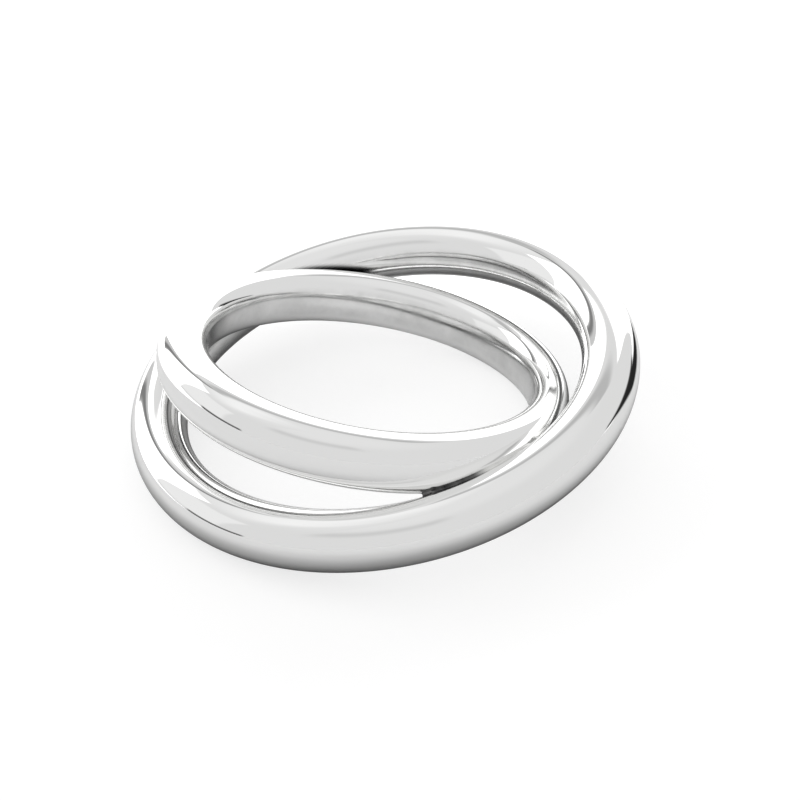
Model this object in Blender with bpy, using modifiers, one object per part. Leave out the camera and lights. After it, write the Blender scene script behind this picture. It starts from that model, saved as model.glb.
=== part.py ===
"""Double-band silver ring: two closed bands that lean opposite ways and are soldered at their crossings.

The smaller band goes on the finger. It is thickest on its raised side and slims down to its low
side, because its bore is set off the middle. The larger band runs round it with one section, and a
shallow saddle is filed into its bore at each of the two crossings, where the smaller band beds on
a film of solder. The ring stands on a table on the lowest point of each band.

Frame: +Z up, +X along the line through the two crossings. The origin is on the table, under the
centre of the larger band.
"""

import math

import bpy

MM = 0.001

# Smaller band, the one on the finger
FINGER_BORE = 17.2 * MM
INNER_THICKNESS = 2.35 * MM
INNER_BORE_OFFSET = 0.39 * MM
INNER_WIDTH = 3.02 * MM
INNER_SQUARENESS = 2.3
INNER_LEAN = math.radians(-15.6)
INNER_SHIFT = -1.05 * MM

# Larger band. Its bore follows from the smaller band and the depth of the saddles.
OUTER_THICKNESS = 3.04 * MM
OUTER_WIDTH = 3.20 * MM
OUTER_SQUARENESS = 2.0
OUTER_LEAN = math.radians(7.4)

# Crossings: how far the smaller band beds into the larger one, the film of solder
# under it, and the hairline left on each side of the film
SADDLE_DEPTH = 0.16 * MM
SOLDER_FILM = 0.06 * MM
HAIRLINE = 0.015 * MM

# Facets round a hoop and round its section
HOOP_FACETS = 96
SECTION_FACETS = 24
WELD_DISTANCE = 0.001 * MM

# How much of the hoop, either side of a crossing, is searched for the deepest contact
SEARCH_HALF_ANGLE = math.radians(60)
SEARCH_STEPS = 60
HALVINGS = 40

POLISHED_SILVER = ((0.93, 0.93, 0.92, 1.0), 0.06)
SOLDER_SILVER = ((0.86, 0.86, 0.84, 1.0), 0.15)


class Band:
    """A round hoop with a superellipse section, leaning about the X axis and touching the table.

    The outer surface is round about the hoop's centre. The bore is set off by bore_offset towards
    the +Y side, so that the band is thicker on its -Y side.
    """

    def __init__(self, radius, thickness, width, squareness, lean, shift=0.0, bore_offset=0.0):
        self.outer_radius = radius + thickness / 2
        self.mean_half_thickness = thickness / 2
        self.bore_offset = bore_offset
        self.half_width = width / 2
        self.squareness = squareness
        self.lean = lean
        self.shift = shift

    def half_thickness(self, angle):
        return self.mean_half_thickness - self.bore_offset / 2 * math.sin(angle)

    def hoop_radius(self, angle):
        """Radius of the middle of the section."""
        return self.outer_radius - self.half_thickness(angle)

    def height(self):
        """Height of the hoop's centre, with the band's lowest point on the table."""
        low_side = -math.copysign(math.pi / 2, self.lean)
        slope, level = abs(math.sin(self.lean)), math.cos(self.lean)
        dual = self.squareness / (self.squareness - 1)
        reach = (self.half_thickness(low_side) * slope) ** dual + (self.half_width * level) ** dual
        return self.hoop_radius(low_side) * slope + reach ** (1 / dual)

    def section(self, angle=0.0, growth=0.0):
        """Outline as (radius, height) pairs, down the outer side and up the bore."""
        outline = []
        for i in range(SECTION_FACETS):
            turn = math.pi / 2 - 2 * math.pi * i / SECTION_FACETS
            radial = rounded(math.cos(turn), self.squareness) * (self.half_thickness(angle) + growth)
            axial = rounded(math.sin(turn), self.squareness) * (self.half_width + growth)
            outline.append((self.hoop_radius(angle) + radial, axial))
        return outline

    def surface_point(self, angle, radius, axial):
        """Point of the band in the ring's frame."""
        x, across = radius * math.cos(angle), radius * math.sin(angle)
        y = self.shift + across * math.cos(self.lean) - axial * math.sin(self.lean)
        return x, y, self.height() + across * math.sin(self.lean) + axial * math.cos(self.lean)

    def depth_inside(self, point):
        """How deep a point of the ring's frame lies in the band; negative outside it."""
        x, y, z = point[0], point[1] - self.shift, point[2] - self.height()
        across = y * math.cos(self.lean) + z * math.sin(self.lean)
        axial = z * math.cos(self.lean) - y * math.sin(self.lean)
        angle = math.atan2(across, x)
        radial = math.hypot(x, across) - self.hoop_radius(angle)
        size = (
            abs(radial / self.half_thickness(angle)) ** self.squareness
            + abs(axial / self.half_width) ** self.squareness
        ) ** (1 / self.squareness)
        return math.hypot(radial, axial) * (1 / size - 1)


def rounded(value, squareness):
    return math.copysign(abs(value) ** (2 / squareness), value)


def contact_depth(band, other):
    """Depth of the deepest point of one band's surface in the other, near the crossing at +X."""
    depths = []
    for i in range(SEARCH_STEPS + 1):
        angle = SEARCH_HALF_ANGLE * (2 * i / SEARCH_STEPS - 1)
        for radius, axial in band.section(angle):
            depths.append(other.depth_inside(band.surface_point(angle, radius, axial)))
    return max(depths)


def outer_band_around(inner):
    """The larger band, with the hoop radius that lets the smaller one bed to the saddle depth."""
    low = inner.outer_radius - INNER_THICKNESS / 2
    high = inner.outer_radius + OUTER_THICKNESS + SADDLE_DEPTH
    for _ in range(HALVINGS):
        middle = (low + high) / 2
        band = Band(middle, OUTER_THICKNESS, OUTER_WIDTH, OUTER_SQUARENESS, OUTER_LEAN)
        if contact_depth(inner, band) > SADDLE_DEPTH:
            low = middle
        else:
            high = middle
    return band


def material(name, finish):
    colour, roughness = finish
    made = bpy.data.materials.new(name)
    made.use_nodes = True
    shader = made.node_tree.nodes["Principled BSDF"]
    shader.inputs["Base Color"].default_value = colour
    shader.inputs["Metallic"].default_value = 1.0
    shader.inputs["Roughness"].default_value = roughness
    made.diffuse_color = colour
    return made


def place(name, mesh, band, collection):
    """Object for a mesh made about the hoop's own centre and axis."""
    made = bpy.data.objects.new(name, mesh)
    made.location = (0.0, band.shift, band.height())
    made.rotation_euler = (band.lean, 0.0, 0.0)
    collection.objects.link(made)
    return made


def turned_hoop(name, band, collection):
    """Band of one section: its outline turned through a full circle by a Screw modifier."""
    outline = [(radius, 0.0, axial) for radius, axial in band.section()]
    edges = [(i, (i + 1) % len(outline)) for i in range(len(outline))]
    mesh = bpy.data.meshes.new(name)
    mesh.from_pydata(outline, edges, [])
    made = place(name, mesh, band, collection)
    screw = made.modifiers.new("turn", "SCREW")
    screw.axis = "Z"
    screw.angle = 2 * math.pi
    screw.steps = HOOP_FACETS
    screw.render_steps = HOOP_FACETS
    screw.use_merge_vertices = True
    screw.merge_threshold = WELD_DISTANCE
    screw.use_smooth_shade = True
    return made


def lofted_hoop(name, band, collection, growth=0.0):
    """Band whose thickness changes round the hoop: a loft through a section at each step."""
    points, faces = [], []
    for i in range(HOOP_FACETS):
        angle = 2 * math.pi * i / HOOP_FACETS
        here, ahead = i * SECTION_FACETS, (i + 1) % HOOP_FACETS * SECTION_FACETS
        for j, (radius, axial) in enumerate(band.section(angle, growth)):
            after = (j + 1) % SECTION_FACETS
            points.append((radius * math.cos(angle), radius * math.sin(angle), axial))
            faces.append((here + j, here + after, ahead + after, ahead + j))
    mesh = bpy.data.meshes.new(name)
    mesh.from_pydata(points, [], faces)
    mesh.shade_smooth()
    return place(name, mesh, band, collection)


def side_block(name, side, band, collection):
    """Cutter that holds the half of the ring on one side of the X = 0 plane."""
    reach = 2 * band.outer_radius
    bpy.ops.mesh.primitive_cube_add(size=reach, location=(side * reach / 2, 0.0, band.height()))
    made = bpy.context.object
    made.name = name
    for holder in list(made.users_collection):
        holder.objects.unlink(made)
    collection.objects.link(made)
    return made


def boolean(target, cutter, operation):
    step = target.modifiers.new(cutter.name, "BOOLEAN")
    step.operation = operation
    step.solver = "EXACT"
    step.object = cutter


def hide(cutter):
    cutter.hide_render = True
    cutter.display_type = "WIRE"


def solder_joint(name, side, inner, outer, outer_blank, parts, cutters):
    """Film of solder between the smaller band and the floor of one saddle."""
    film = lofted_hoop(name, inner, parts, growth=HAIRLINE + SOLDER_FILM)
    boolean(film, outer_blank, "INTERSECT")
    under = lofted_hoop(name + "_inner_face", inner, cutters, growth=HAIRLINE)
    boolean(film, under, "DIFFERENCE")
    block = side_block(name + "_side", side, outer, cutters)
    boolean(film, block, "INTERSECT")
    hide(under)
    hide(block)
    return film


def main():
    for old in list(bpy.data.objects):
        bpy.data.objects.remove(old)
    parts = bpy.data.collections.new("double_band_ring")
    cutters = bpy.data.collections.new("cutters")
    bpy.context.scene.collection.children.link(parts)
    bpy.context.scene.collection.children.link(cutters)

    inner = Band(
        FINGER_BORE / 2 + INNER_THICKNESS / 2,
        INNER_THICKNESS,
        INNER_WIDTH,
        INNER_SQUARENESS,
        INNER_LEAN,
        INNER_SHIFT,
        INNER_BORE_OFFSET,
    )
    outer = outer_band_around(inner)
    silver = material("polished_silver", POLISHED_SILVER)
    solder = material("solder_silver", SOLDER_SILVER)

    inner_band = lofted_hoop("inner_band", inner, parts)
    inner_band.data.materials.append(silver)

    outer_band = turned_hoop("outer_band", outer, parts)
    outer_band.data.materials.append(silver)
    saddle = lofted_hoop("saddle_cutter", inner, cutters, growth=2 * HAIRLINE + SOLDER_FILM)
    boolean(outer_band, saddle, "DIFFERENCE")
    hide(saddle)

    outer_blank = turned_hoop("outer_band_blank", outer, cutters)
    for name, side in (("front_solder_joint", 1), ("rear_solder_joint", -1)):
        film = solder_joint(name, side, inner, outer, outer_blank, parts, cutters)
        film.data.materials.append(solder)
    hide(outer_blank)


main()
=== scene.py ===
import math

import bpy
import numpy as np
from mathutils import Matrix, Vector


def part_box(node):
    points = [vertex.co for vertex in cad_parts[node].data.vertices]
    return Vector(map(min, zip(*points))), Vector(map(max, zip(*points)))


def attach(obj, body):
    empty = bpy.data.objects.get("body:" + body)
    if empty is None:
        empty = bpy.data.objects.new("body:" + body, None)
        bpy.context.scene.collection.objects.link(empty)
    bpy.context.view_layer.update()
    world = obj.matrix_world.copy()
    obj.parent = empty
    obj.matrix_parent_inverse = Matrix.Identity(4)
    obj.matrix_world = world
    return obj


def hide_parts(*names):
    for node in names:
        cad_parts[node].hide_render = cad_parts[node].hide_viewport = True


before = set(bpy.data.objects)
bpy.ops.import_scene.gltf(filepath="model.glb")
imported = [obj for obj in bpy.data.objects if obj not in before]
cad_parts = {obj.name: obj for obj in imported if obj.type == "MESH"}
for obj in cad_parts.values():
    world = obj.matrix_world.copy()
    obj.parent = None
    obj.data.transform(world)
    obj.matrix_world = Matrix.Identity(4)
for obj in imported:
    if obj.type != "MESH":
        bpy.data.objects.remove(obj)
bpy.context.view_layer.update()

# Looks of the double-band silver ring: two mirror-polished bands and the two fillets of solder
# where they cross, on a pale floor under soft studio light. Lengths are in metres. +Z is up and +X
# runs through the two crossings, as in the CAD model. A direction on the level is an azimuth in
# degrees, from +Y towards +X, apart from the camera's.

MM = 0.001

# Sections, leans and shift of the bands, as the CAD model has them
INNER_THICKNESS = 2.35 * MM
INNER_WIDTH = 3.02 * MM
INNER_BORE_OFFSET = 0.39 * MM
INNER_SQUARENESS = 2.3
INNER_LEAN = math.radians(-15.6)
INNER_SHIFT = -1.05 * MM
OUTER_THICKNESS = 3.04 * MM
OUTER_WIDTH = 3.20 * MM
OUTER_SQUARENESS = 2.0
OUTER_LEAN = math.radians(7.4)

# The polished surface lies this far inside the CAD one, so that it stays in the CAD model's box
POLISH = 0.013 * MM

# Steps round the hoop and round the section of the smooth bands, and the distance over which the
# slope of a band's surface is measured
HOOP_STEPS = 540
SECTION_STEPS = 96
SLOPE_STEP = 1e-3 * MM

# Solder fillet: radius of the ball that shapes it, how far its edges sink into the bands, steps
# round the crossing and rows across the arc
FILLET_RADIUS = 0.10 * MM
FILLET_SINK = 0.01 * MM
FILLET_STEPS = 360
FILLET_ARC = 9

# Search for the ball: how far out from the middle of the crossing, in half sizes of the solder
# film, how far to either side of the film, and in how many halvings
BALL_SPAN = (0.2, 2.5)
BALL_REACH = 1.2 * MM
HALVINGS = 40

# Painted shade, near black, in the crevice between the bands: the gaps over which it fades out at
# each crossing, and the stretch of Y over which it comes up at the front one, which has less of it
FRONT_CREVICE = (0.04 * MM, 0.24 * MM)
REAR_CREVICE = (0.40 * MM, 0.60 * MM)
FRONT_CREVICE_SHADE_FADE = (-0.6 * MM, -1.8 * MM)

# Where the duller finish and painted shade of a bore start and where they are full, as minus the
# cosine of the angle round the section
BORE_FADE = (0.80, 0.97)

# Colours of the metal: the bands, the darkest mottling in their bores, partly painted shade, the
# solder, its darkest clouds, and the near black of the painted shade in the crevices
SILVER = (0.94, 0.94, 0.935, 1)
MOTTLED_SHADED_SILVER = (0.74, 0.74, 0.735, 1)
SOLDER = (0.86, 0.86, 0.84, 1)
CLOUDED_SOLDER = (0.70, 0.70, 0.69, 1)
CREVICE_SHADE_BLACK = (0.015, 0.015, 0.016, 1)

# Finish of the bands: the waves of the polishing mop, the haze all over, the mottling and the
# grain of the bores, and how much roughness the painted crevice shade adds
WAVE_SIZE = 4.5 * MM
WAVE_DEPTH = 0.012 * MM
HAZE_SIZE = 3.5 * MM
HAZE_ROUGHNESS = (0.022, 0.040)
MOTTLE_SIZE = 1.6 * MM
MOTTLE_ROUGHNESS = (0.06, 0.15)
GRAIN_SIZE = 0.12 * MM
GRAIN_DEPTH = 0.0016 * MM
CREVICE_SHADE_ROUGHNESS = 0.25

# Finish of the solder: its clouds, its grain, and how much painted shade the clouds let through
SOLDER_CLOUD_SIZE = 0.7 * MM
SOLDER_ROUGHNESS = (0.12, 0.30)
SOLDER_GRAIN_SIZE = 0.1 * MM
SOLDER_GRAIN_DEPTH = 0.002 * MM
SOLDER_CREVICE_SHADE = (0.75, 1.0)

# Noise lies mostly between these values
NOISE_SPAN = (0.3, 0.7)

# Camera: its azimuth from -Y towards +X, its elevation and roll, how far it stands from the point
# that it looks at, and its view angle
CAMERA_AZIMUTH = math.radians(59.74)
CAMERA_ELEVATION = math.radians(34.69)
CAMERA_ROLL = math.radians(-4.76)
CAMERA_DISTANCE = 98.75 * MM
CAMERA_TARGET = Vector((0.964, 0.435, 2.286)) * MM
CAMERA_VIEW_ANGLE = math.radians(24.40)
CAMERA_CLIP = 1 * MM

# Brightness of the dome, of the softboxes, and the most that anything but the floor sees of them
DOME = 0.746
SOFTBOX = 5.0
GLARE = 1.4

# Patches on the dome, each laid over those before it: azimuths, elevations, brightness, and width
# of the soft edge, with angles in degrees. The camera stands at azimuth 120 and looks towards 300.
SKY_PATCHES = (
    # Ceiling, and a panel in it on the left
    ((-180, 180), (58, 120), 0.80, 30),
    ((212, 292), (50, 74), 0.95, 30),
    # Grey strips over the camera and over the rear softbox
    ((108, 172), (42, 54), 0.63, 14),
    ((262, 346), (46, 55), 0.50, 6),
    # Pale wall on the left, then the softboxes on the left and at the rear
    ((198, 238), (4, 38), 0.87, 4),
    ((234, 264), (-3, 43), SOFTBOX, 5),
    ((271, 340), (-12, 38), SOFTBOX, 5),
    # Gap between the softboxes, and the dark line down it
    ((261, 272), (1, 50), 0.60, 3),
    ((262.5, 267), (1, 50), 0.22, 3),
    # Dark flags at the horizon, on the right and on the left
    ((-9, 25), (-9, 4), 0.04, 4),
    ((186, 213), (-0.5, 4), 0.10, 3),
)

# Floor: how far it reaches, its roughness, and its grey and its own light as the camera sees them
FLOOR_REACH = 2.0
FLOOR_ROUGHNESS = 0.8
FLOOR_GREY = 0.30
FLOOR_LIGHT = 0.74

# Painted shadow and light on the floor, in everything but the camera's own view: grey by distance
# from the ring's middle, dark as painted shadow under the bands and light inside the ring
FLOOR_PAINTED_SHADING = (
    (0 * MM, 0.90),
    (7.5 * MM, 0.85),
    (9.5 * MM, 0.55),
    (11 * MM, 0.12),
    (12.5 * MM, 0.16),
    (14 * MM, 0.42),
    (17 * MM, 0.76),
    (22 * MM, 0.76),
    (30 * MM, 0.74),
)

# Painted light on the floor behind the ring, a glow in place of the backlit floor: its azimuth,
# where it starts and is full, and its strength
PAINTED_GLOW_AZIMUTH = 300
PAINTED_GLOW_SPAN = (11 * MM, 17 * MM)
PAINTED_BACKLIGHT_GLOW = 0.9

# Dark sector of the floor, which meets the dark flag on the right: its azimuth, the slopes away
# from there at which it starts and is full, how far out it starts and is full, and its grey
ACCENT_AZIMUTH = 8
ACCENT_SLOPE = (0.32, 0.20)
ACCENT_START = (22 * MM, 28 * MM)
ACCENT_GREY = 0.02


def rounded(value, squareness):
    """One coordinate of a superellipse from the cosine or sine of its angle."""
    return np.sign(value) * np.abs(value) ** (2 / squareness)


def full_turn(steps):
    """Evenly spaced angles once round."""
    return np.linspace(0, 2 * math.pi, steps, endpoint=False)


def smooth_step(value, start, end):
    """0 up to the start and 1 from the end on, with a smooth change between."""
    share = np.clip((value - start) / (end - start), 0, 1)
    return share * share * (3 - 2 * share)


def close_in(within, beyond, is_beyond):
    """Values between two bounds at which a test turns true, for whole arrays at once."""
    for _ in range(HALVINGS):
        middle = (within + beyond) / 2
        over = is_beyond(middle)
        within, beyond = np.where(over, within, middle), np.where(over, middle, beyond)
    return (within + beyond) / 2


class Band:
    """A round hoop with a superellipse section, leaning about the X axis and touching the table.

    The bore is set off towards the +Y side by bore_offset, so the band is thicker on its -Y side.
    """

    def __init__(self, node, thickness, width, squareness, lean, shift=0.0, bore_offset=0.0):
        low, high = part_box(node)
        self.outer_radius = (high.x - low.x) / 2
        self.mean_half_thickness = thickness / 2
        self.bore_offset = bore_offset
        self.half_width = width / 2
        self.squareness = squareness
        self.lean = lean
        self.shift = shift
        low_side = -math.copysign(math.pi / 2, lean)
        dual = squareness / (squareness - 1)
        slope, level = abs(math.sin(lean)), math.cos(lean)
        reach = (self.half_thickness(low_side) * slope) ** dual + (self.half_width * level) ** dual
        self.height = self.hoop_radius(low_side) * slope + reach ** (1 / dual)

    def half_thickness(self, turn):
        return self.mean_half_thickness - self.bore_offset / 2 * np.sin(turn)

    def hoop_radius(self, turn):
        """Radius of the middle of the section."""
        return self.outer_radius - self.half_thickness(turn)

    def surface(self, turn, angle):
        """Points of the polished surface, from the turn round the hoop and round its section."""
        radial = (self.half_thickness(turn) - POLISH) * rounded(np.cos(angle), self.squareness)
        axial = (self.half_width - POLISH) * rounded(np.sin(angle), self.squareness)
        radius = self.hoop_radius(turn) + radial
        across = radius * np.sin(turn)
        x = radius * np.cos(turn)
        y = self.shift + across * math.cos(self.lean) - axial * math.sin(self.lean)
        z = self.height + across * math.sin(self.lean) + axial * math.cos(self.lean)
        return np.stack(np.broadcast_arrays(x, y, z), axis=-1)

    def level(self, points, growth=0.0):
        """1 on the surface of the band grown by some thickness, less inside and more outside."""
        x, y, z = points[:, 0], points[:, 1] - self.shift, points[:, 2] - self.height
        across = y * math.cos(self.lean) + z * math.sin(self.lean)
        axial = z * math.cos(self.lean) - y * math.sin(self.lean)
        turn = np.arctan2(across, x)
        radial = np.hypot(x, across) - self.hoop_radius(turn)
        size = (
            np.abs(radial / (self.half_thickness(turn) - POLISH + growth)) ** self.squareness
            + np.abs(axial / (self.half_width - POLISH + growth)) ** self.squareness
        )
        return size ** (1 / self.squareness)

    def outward(self, points):
        """Unit vectors that point straight away from the band's surface."""
        slopes = []
        for step in SLOPE_STEP * np.eye(3):
            slopes.append(self.level(points + step) - self.level(points - step))
        slopes = np.stack(slopes, axis=1)
        return slopes / np.linalg.norm(slopes, axis=1)[:, None]

    def clearance(self, points):
        """Rough distance of points from the band's surface."""
        slope = self.level(points + SLOPE_STEP * self.outward(points)) - self.level(points)
        return (self.level(points) - 1) * SLOPE_STEP / slope

    def heart(self, y):
        """Middle of the section on the +X side, where the band passes a given Y."""
        across = (y - self.shift) / math.cos(self.lean)
        x = math.sqrt(self.hoop_radius(0.0) ** 2 - across**2)
        return np.array((x, y, self.height + across * math.sin(self.lean)))


def new_object(name, points, faces, material):
    """Smooth-shaded object in the scene, with one material."""
    mesh = bpy.data.meshes.new(name)
    mesh.from_pydata(points.reshape(-1, 3).tolist(), [], faces)
    mesh.materials.append(material)
    mesh.shade_smooth()
    made = bpy.data.objects.new(name, mesh)
    bpy.context.scene.collection.objects.link(made)
    return made


def ring_faces(rows, columns):
    """Quads of a grid that closes on itself both ways."""
    faces = []
    for row in range(rows):
        here, ahead = row * columns, (row + 1) % rows * columns
        for column in range(columns):
            after = (column + 1) % columns
            faces.append((here + column, ahead + column, ahead + after, here + after))
    return faces


def paint_mask(piece, name, values):
    """Store one number for each point of a piece, for its material to read."""
    mask = piece.data.attributes.new(name, "FLOAT", "POINT")
    mask.data.foreach_set("value", np.ravel(values).astype(np.float32))


def crevice_shade_share(points):
    """Share of painted crevice shade: 1 round the rear crossing, at the front only on its -Y side.
    """
    return np.where(points[..., 0] > 0, smooth_step(points[..., 1], *FRONT_CREVICE_SHADE_FADE), 1.0)


def crevice_shade_amount(points, other):
    """How much painted shade darkens points of one band, from how near the other band is."""
    gap = other.clearance(points)
    front, rear = smooth_step(gap, *FRONT_CREVICE), smooth_step(gap, *REAR_CREVICE)
    return (1 - np.where(points[:, 0] > 0, front, rear)) * crevice_shade_share(points)


def band_object(name, band, other, material):
    """Polished band, masked for its bore and for painted shade in its crevice to the other band."""
    turn, angle = full_turn(HOOP_STEPS)[:, None], full_turn(SECTION_STEPS)[None, :]
    points = band.surface(turn, angle)
    made = new_object(name, points, ring_faces(HOOP_STEPS, SECTION_STEPS), material)
    bore = smooth_step(-np.cos(angle), *BORE_FADE)
    paint_mask(made, "bore", np.broadcast_to(bore, points.shape[:2]))
    # Mask of the painted shade in the crevice towards the other band
    paint_mask(made, "painted_crevice_shade", crevice_shade_amount(points.reshape(-1, 3), other))
    return made


def ball_offset(band, column, direction):
    """How far along a direction, from each point of a column, the ball just clears the band."""
    nearest = np.full((len(column), 1), -BALL_REACH)

    def is_clear(offset):
        return band.level(column + offset * direction, FILLET_RADIUS)[:, None] > 1

    return close_in(nearest, -nearest, is_clear)


def rolling_ball(inner, outer):
    """Centres of a ball that rolls round the front crossing and touches both bands."""
    low, high = (np.array(corner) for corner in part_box("front_solder_joint"))
    middle, reach = (low + high) / 2, (high - low) / 2
    inner_heart, outer_heart = inner.heart(middle[1]), outer.heart(middle[1])
    normal = (outer_heart - inner_heart) / np.linalg.norm(outer_heart - inner_heart)
    along = np.array((0.0, 1.0, 0.0))
    upward = np.cross(normal, along)
    turn = full_turn(FILLET_STEPS)[:, None]
    spoke = reach[1] * np.cos(turn) * along + reach[2] * np.sin(turn) * upward

    def has_room(share):
        column = middle + share * spoke
        return -ball_offset(outer, column, -normal) > ball_offset(inner, column, normal)

    near, far = (np.full_like(turn, share) for share in BALL_SPAN)
    column = middle + close_in(near, far, has_room) * spoke
    return column + ball_offset(inner, column, normal) * normal


def fillet_rows(inner, outer, side):
    """Sections of the solder fillet round one crossing.

    Its skin is the rolling ball's arc between the points where the ball touches the two bands. Its
    hidden corner lies behind the skin, in the crevice between the bands.
    """
    ball = rolling_ball(inner, outer)
    from_inner, from_outer = inner.outward(ball), outer.outward(ball)
    opening = np.arccos(np.clip((from_inner * from_outer).sum(axis=1), -1, 1))[:, None]
    radii = np.full(FILLET_ARC, FILLET_RADIUS)
    radii[[0, -1]] += FILLET_SINK
    rows = []
    for share, radius in zip(np.linspace(0, 1, FILLET_ARC), radii):
        weights = np.sin((1 - share) * opening), np.sin(share * opening)
        away = (weights[0] * from_inner + weights[1] * from_outer) / np.sin(opening)
        rows.append(ball - radius * away)
    inwards = -(from_inner + from_outer)
    inwards /= np.linalg.norm(inwards, axis=1)[:, None]
    rows.append(ball + FILLET_RADIUS / np.cos(opening / 2) * inwards)

    rows = np.stack(rows, axis=1)
    rows[:, :, 0] *= side
    return rows


def fillet_object(name, inner, outer, side, material):
    """Solder fillet on the +X side, or for a side of -1 its mirror image on the -X side."""
    rows = fillet_rows(inner, outer, side)
    faces = ring_faces(rows.shape[0], rows.shape[1])
    if side < 0:
        faces = [tuple(reversed(face)) for face in faces]
    made = new_object(name, rows, faces, material)
    # Painted shade on the solder, near black, round the rear crossing and on the front one's -Y side
    paint_mask(made, "painted_crevice_shade", crevice_shade_share(rows))
    return made


def grey(value):
    return (value, value, value, 1)


def headings(azimuth):
    """Level directions ahead and to the right, for someone who faces an azimuth in radians."""
    ahead = Vector((math.sin(azimuth), math.cos(azimuth), 0))
    right = Vector((math.cos(azimuth), -math.sin(azimuth), 0))
    return ahead, right


class Nodes:
    """Short ways to add nodes to a node tree. A value is a number, a vector or a node's output."""

    def __init__(self, tree):
        self.tree = tree

    def add(self, kind, **settings):
        node = self.tree.nodes.new("ShaderNode" + kind)
        for name, setting in settings.items():
            setattr(node, name, setting)
        return node

    def feed(self, socket, value):
        if isinstance(value, bpy.types.NodeSocket):
            self.tree.links.new(value, socket)
        else:
            socket.default_value = value

    def feed_in_order(self, node, values):
        for socket, value in zip(node.inputs, values):
            self.feed(socket, value)

    def feed_by_name(self, node, values):
        for name, value in values.items():
            self.feed(node.inputs[name], value)

    def math(self, operation, *values):
        node = self.add("Math", operation=operation)
        self.feed_in_order(node, values)
        return node.outputs["Value"]

    def vector_math(self, operation, *values):
        node = self.add("VectorMath", operation=operation)
        self.feed_in_order(node, values)
        return node.outputs

    def along(self, place, axis):
        """How far a place lies along an axis."""
        return self.vector_math("DOT_PRODUCT", place, axis)["Value"]

    def spread(self, value, span, results=(0.0, 1.0), curve="SMOOTHSTEP"):
        """Carry a span of values over to a range of results, whose ends hold outside the span."""
        node = self.add("MapRange", interpolation_type=curve)
        ends = {"From Min": span[0], "From Max": span[1], "To Min": results[0], "To Max": results[1]}
        self.feed_by_name(node, {"Value": value, **ends})
        return node.outputs["Result"]

    def blend(self, share, first, second):
        """Colour between a first one, where the share is 0, and a second one, where it is 1."""
        node = self.add("Mix", data_type="RGBA")
        self.feed_by_name(node, {"Factor": share, "A": first, "B": second})
        return node.outputs["Result"]


class Finish(Nodes):
    """A metal whose looks are built from noise in the ring's own space."""

    def __init__(self, name):
        self.material = bpy.data.materials.new(name)
        self.material.use_nodes = True
        super().__init__(self.material.node_tree)
        self.place = self.add("TexCoord").outputs["Object"]

    def noise(self, size, detail=2.0, roughness=0.5):
        """Noise whose features are about one size across."""
        node = self.add("TexNoise")
        self.feed_by_name(node, {"Vector": self.place, "Scale": 1 / size})
        self.feed_by_name(node, {"Detail": detail, "Roughness": roughness})
        return node.outputs["Fac"]

    def spread_noise(self, noise, low=0.0, high=1.0):
        return self.spread(noise, NOISE_SPAN, (low, high), "LINEAR")

    def mask(self, name):
        return self.add("Attribute", attribute_name=name).outputs["Fac"]

    def bump(self, height, depth, below=None):
        """Relief of a given depth, on top of an earlier relief."""
        node = self.add("Bump")
        self.feed_by_name(node, {"Height": height, "Distance": depth})
        if below is not None:
            self.feed(node.inputs["Normal"], below)
        return node.outputs["Normal"]

    def metal(self, colour, roughness, normal):
        """Material of this finish, once its colour, roughness and relief are made."""
        shader = self.tree.nodes["Principled BSDF"]
        self.feed_by_name(shader, {"Base Color": colour, "Metallic": 1.0})
        self.feed_by_name(shader, {"Roughness": roughness, "Normal": normal})
        return self.material


def polished_silver():
    """Mirror polish, slow mop waves, faint haze, and a duller, mottled bore with painted shade."""
    finish = Finish("polished_silver")
    bore, painted_crevice_shade = finish.mask("bore"), finish.mask("painted_crevice_shade")
    cloud = finish.noise(MOTTLE_SIZE, detail=5, roughness=0.6)
    # Darker mottled colour in the bores: partly a real mottled tone, partly painted shade inside the
    # ring
    bore_mottle_and_shade = finish.math("MULTIPLY", bore, finish.spread_noise(cloud))
    # Painted shade, near black, in the crevices between the bands
    colour = finish.blend(painted_crevice_shade, finish.blend(bore_mottle_and_shade, SILVER, MOTTLED_SHADED_SILVER), CREVICE_SHADE_BLACK)

    haze = finish.spread_noise(finish.noise(HAZE_SIZE, detail=3), *HAZE_ROUGHNESS)
    dull = finish.math("MULTIPLY", bore, finish.spread_noise(cloud, *MOTTLE_ROUGHNESS))
    crevice_roughness = finish.math("MULTIPLY", painted_crevice_shade, CREVICE_SHADE_ROUGHNESS)
    roughness = finish.math("ADD", finish.math("ADD", haze, dull), crevice_roughness)

    waves = finish.bump(finish.noise(WAVE_SIZE, detail=1), WAVE_DEPTH)
    grain = finish.math("MULTIPLY", finish.noise(GRAIN_SIZE, detail=3), bore)
    return finish.metal(colour, roughness, finish.bump(grain, GRAIN_DEPTH, below=waves))


def solder_silver():
    """Solder a little greyer than the bands, grainy, with painted shade where the mask says so."""
    finish = Finish("solder_silver")
    cloud = finish.noise(SOLDER_CLOUD_SIZE, detail=4)
    clean = finish.blend(finish.spread_noise(cloud), SOLDER, CLOUDED_SOLDER)
    shown = finish.spread_noise(cloud, *SOLDER_CREVICE_SHADE)
    # Painted shade, near black, where the crevice mask and the solder's clouds let it through
    painted_crevice_shade = finish.math("MULTIPLY", finish.mask("painted_crevice_shade"), shown)
    colour = finish.blend(painted_crevice_shade, clean, CREVICE_SHADE_BLACK)
    roughness = finish.spread_noise(cloud, *SOLDER_ROUGHNESS)
    grain = finish.bump(finish.noise(SOLDER_GRAIN_SIZE), SOLDER_GRAIN_DEPTH)
    return finish.metal(colour, roughness, grain)


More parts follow.
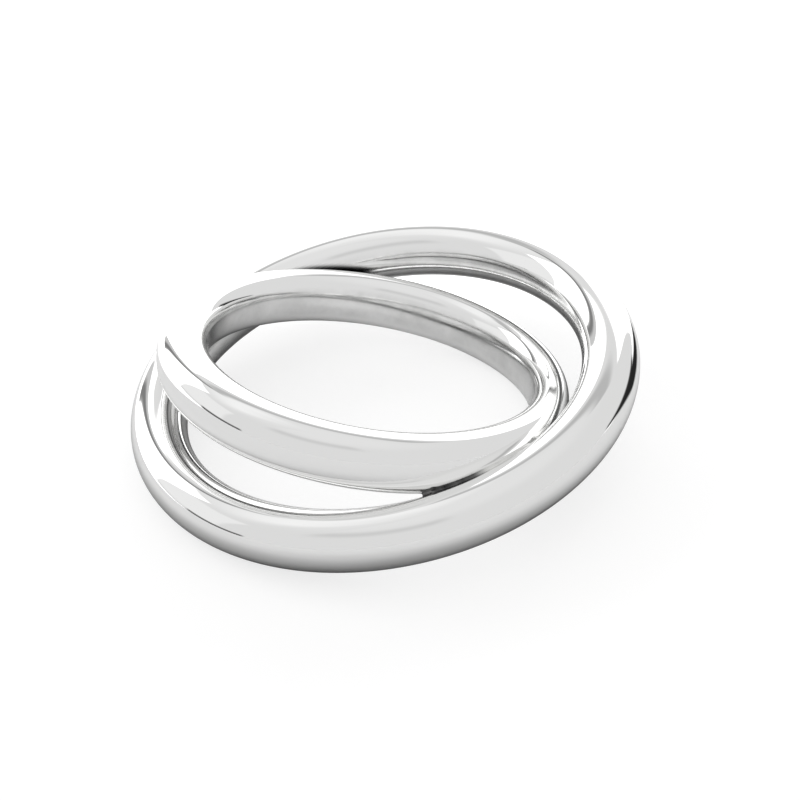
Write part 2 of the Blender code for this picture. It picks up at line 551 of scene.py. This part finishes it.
def add_camera():
    level = math.cos(CAMERA_ELEVATION)
    x, y = math.sin(CAMERA_AZIMUTH) * level, -math.cos(CAMERA_AZIMUTH) * level
    back = Vector((x, y, math.sin(CAMERA_ELEVATION)))
    data = bpy.data.cameras.new("camera")
    data.angle = CAMERA_VIEW_ANGLE
    data.clip_start = CAMERA_CLIP
    camera = bpy.data.objects.new("camera", data)
    camera.matrix_world = (
        Matrix.Translation(CAMERA_TARGET + back * CAMERA_DISTANCE)
        @ back.to_track_quat("Z", "Y").to_matrix().to_4x4()
        @ Matrix.Rotation(CAMERA_ROLL, 4, "Z")
    )
    bpy.context.scene.collection.objects.link(camera)
    bpy.context.scene.camera = camera


class Sky(Nodes):
    """Light of the world, painted as soft-edged patches of brightness on an even dome."""

    def __init__(self, tree):
        super().__init__(tree)
        direction = self.add("TexCoord").outputs["Generated"]
        self.ray = self.vector_math("NORMALIZE", direction)["Vector"]
        self.elevation = self.math("ARCSINE", self.along(self.ray, Vector((0, 0, 1))))
        self.brightness = DOME

    def window(self, value, middle, half, blur):
        """1 within half of the middle and 0 beyond it, changing smoothly over the blur."""
        distance = self.math("ABSOLUTE", self.math("SUBTRACT", value, middle))
        return self.spread(distance, (half + blur / 2, half - blur / 2))

    def patch(self, azimuths, elevations, brightness, blur):
        west, east = (math.radians(azimuth) for azimuth in azimuths)
        bottom, top = (math.radians(elevation) for elevation in elevations)
        blur = math.radians(blur)
        ahead, right = (self.along(self.ray, way) for way in headings((west + east) / 2))
        bearing = self.math("ARCTAN2", right, ahead)
        sideways = self.window(bearing, 0.0, (east - west) / 2, blur)
        upright = self.window(self.elevation, (bottom + top) / 2, (top - bottom) / 2, blur)
        cover = self.math("MULTIPLY", sideways, upright)
        change = self.math("SUBTRACT", brightness, self.brightness)
        self.brightness = self.math("ADD", self.brightness, self.math("MULTIPLY", cover, change))


def add_sky():
    """World that the camera sees as plain white, and the ring and floor as the painted dome."""
    world = bpy.data.worlds.new("studio")
    world.use_nodes = True
    sky = Sky(world.node_tree)
    for patch in SKY_PATCHES:
        sky.patch(*patch)
    path = sky.add("LightPath").outputs
    plain = sky.math("MAXIMUM", sky.brightness, path["Is Camera Ray"])
    most = sky.math("MULTIPLY_ADD", path["Is Diffuse Ray"], SOFTBOX, GLARE)
    shown = sky.math("MINIMUM", plain, most)
    sky.feed_by_name(sky.tree.nodes["Background"], {"Strength": shown, "Color": grey(1)})
    bpy.context.scene.world = world


def painted_floor_shading(nodes, place):
    """Painted shadow and light of the floor: grey by distance from the ring's middle."""
    reach = FLOOR_PAINTED_SHADING[-1][0]
    distance = nodes.vector_math("LENGTH", place)["Value"]
    node = nodes.add("ValToRGB")
    nodes.feed(node.inputs["Fac"], nodes.math("DIVIDE", distance, reach))
    ramp = node.color_ramp
    ramp.interpolation = "B_SPLINE"
    for radius, _ in FLOOR_PAINTED_SHADING[1:-1]:
        ramp.elements.new(radius / reach)
    for element, (radius, painted_shading) in zip(ramp.elements, FLOOR_PAINTED_SHADING):
        element.position = radius / reach
        element.color = grey(painted_shading)
    return node.outputs["Color"]


def floor_accent(nodes, place):
    """1 in the dark sector of the floor and 0 elsewhere."""
    ahead, right = (nodes.along(place, way) for way in headings(math.radians(ACCENT_AZIMUTH)))
    slope = nodes.math("ABSOLUTE", nodes.math("DIVIDE", right, ahead))
    inside = nodes.spread(slope, ACCENT_SLOPE)
    return nodes.math("MULTIPLY", inside, nodes.spread(ahead, ACCENT_START))


def painted_floor_glow(nodes, place, accent):
    """Painted light glowing on the floor behind the ring, with none in the dark sector."""
    behind, _ = headings(math.radians(PAINTED_GLOW_AZIMUTH))
    painted_glow = nodes.spread(nodes.along(place, behind), PAINTED_GLOW_SPAN, (0.0, PAINTED_BACKLIGHT_GLOW))
    return nodes.math("MULTIPLY", painted_glow, nodes.math("SUBTRACT", 1.0, accent))


def pale_floor():
    """Floor that the camera sees plain pale; the ring mirrors its painted shadow and painted glow.

    It is clear from below, so that a view from there shows the ring.
    """
    material = bpy.data.materials.new("pale_floor")
    material.use_nodes = True
    nodes = Nodes(material.node_tree)
    geometry = nodes.add("NewGeometry").outputs
    to_camera = nodes.add("LightPath").outputs["Is Camera Ray"]
    accent = floor_accent(nodes, geometry["Position"])
    # Painted shadow and light on the floor, for everything but the camera
    painted_shading = nodes.blend(accent, painted_floor_shading(nodes, geometry["Position"]), grey(ACCENT_GREY))
    painted_glow = painted_floor_glow(nodes, geometry["Position"], accent)

    shader = nodes.tree.nodes["Principled BSDF"]
    colour = nodes.blend(to_camera, painted_shading, grey(FLOOR_GREY))
    # Even light of the floor for the camera, plus the painted glow behind the ring
    light = nodes.math("MULTIPLY_ADD", to_camera, FLOOR_LIGHT, painted_glow)
    nodes.feed_by_name(shader, {"Base Color": colour, "Roughness": FLOOR_ROUGHNESS})
    nodes.feed_by_name(shader, {"Emission Color": grey(1), "Emission Strength": light})
    nodes.feed_by_name(shader, {"Specular IOR Level": 0.0})

    sides = nodes.add("MixShader")
    clear = nodes.add("BsdfTransparent").outputs["BSDF"]
    nodes.feed_in_order(sides, (geometry["Backfacing"], shader.outputs["BSDF"], clear))
    nodes.feed_by_name(nodes.tree.nodes["Material Output"], {"Surface": sides.outputs["Shader"]})
    return material


def add_studio():
    bpy.context.scene.view_settings.view_transform = "Standard"
    add_sky()
    corners = FLOOR_REACH * np.array([(-1, -1, 0), (1, -1, 0), (1, 1, 0), (-1, 1, 0)])
    floor = new_object("floor", corners, [(0, 1, 2, 3)], pale_floor())


def main():
    silver = polished_silver()
    inner = Band(
        "inner_band",
        INNER_THICKNESS,
        INNER_WIDTH,
        INNER_SQUARENESS,
        INNER_LEAN,
        INNER_SHIFT,
        INNER_BORE_OFFSET,
    )
    outer = Band("outer_band", OUTER_THICKNESS, OUTER_WIDTH, OUTER_SQUARENESS, OUTER_LEAN)
    for name, band, other in (("inner_band", inner, outer), ("outer_band", outer, inner)):
        piece = band_object("polished_" + name, band, other, silver)
        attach(piece, "root")
        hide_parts(name)
    solder = solder_silver()
    for place, side in (("front", 1), ("rear", -1)):
        piece = fillet_object(place + "_solder_fillet", inner, outer, side, solder)
        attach(piece, "root")
        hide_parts(place + "_solder_joint")
    add_camera()
    add_studio()


main()
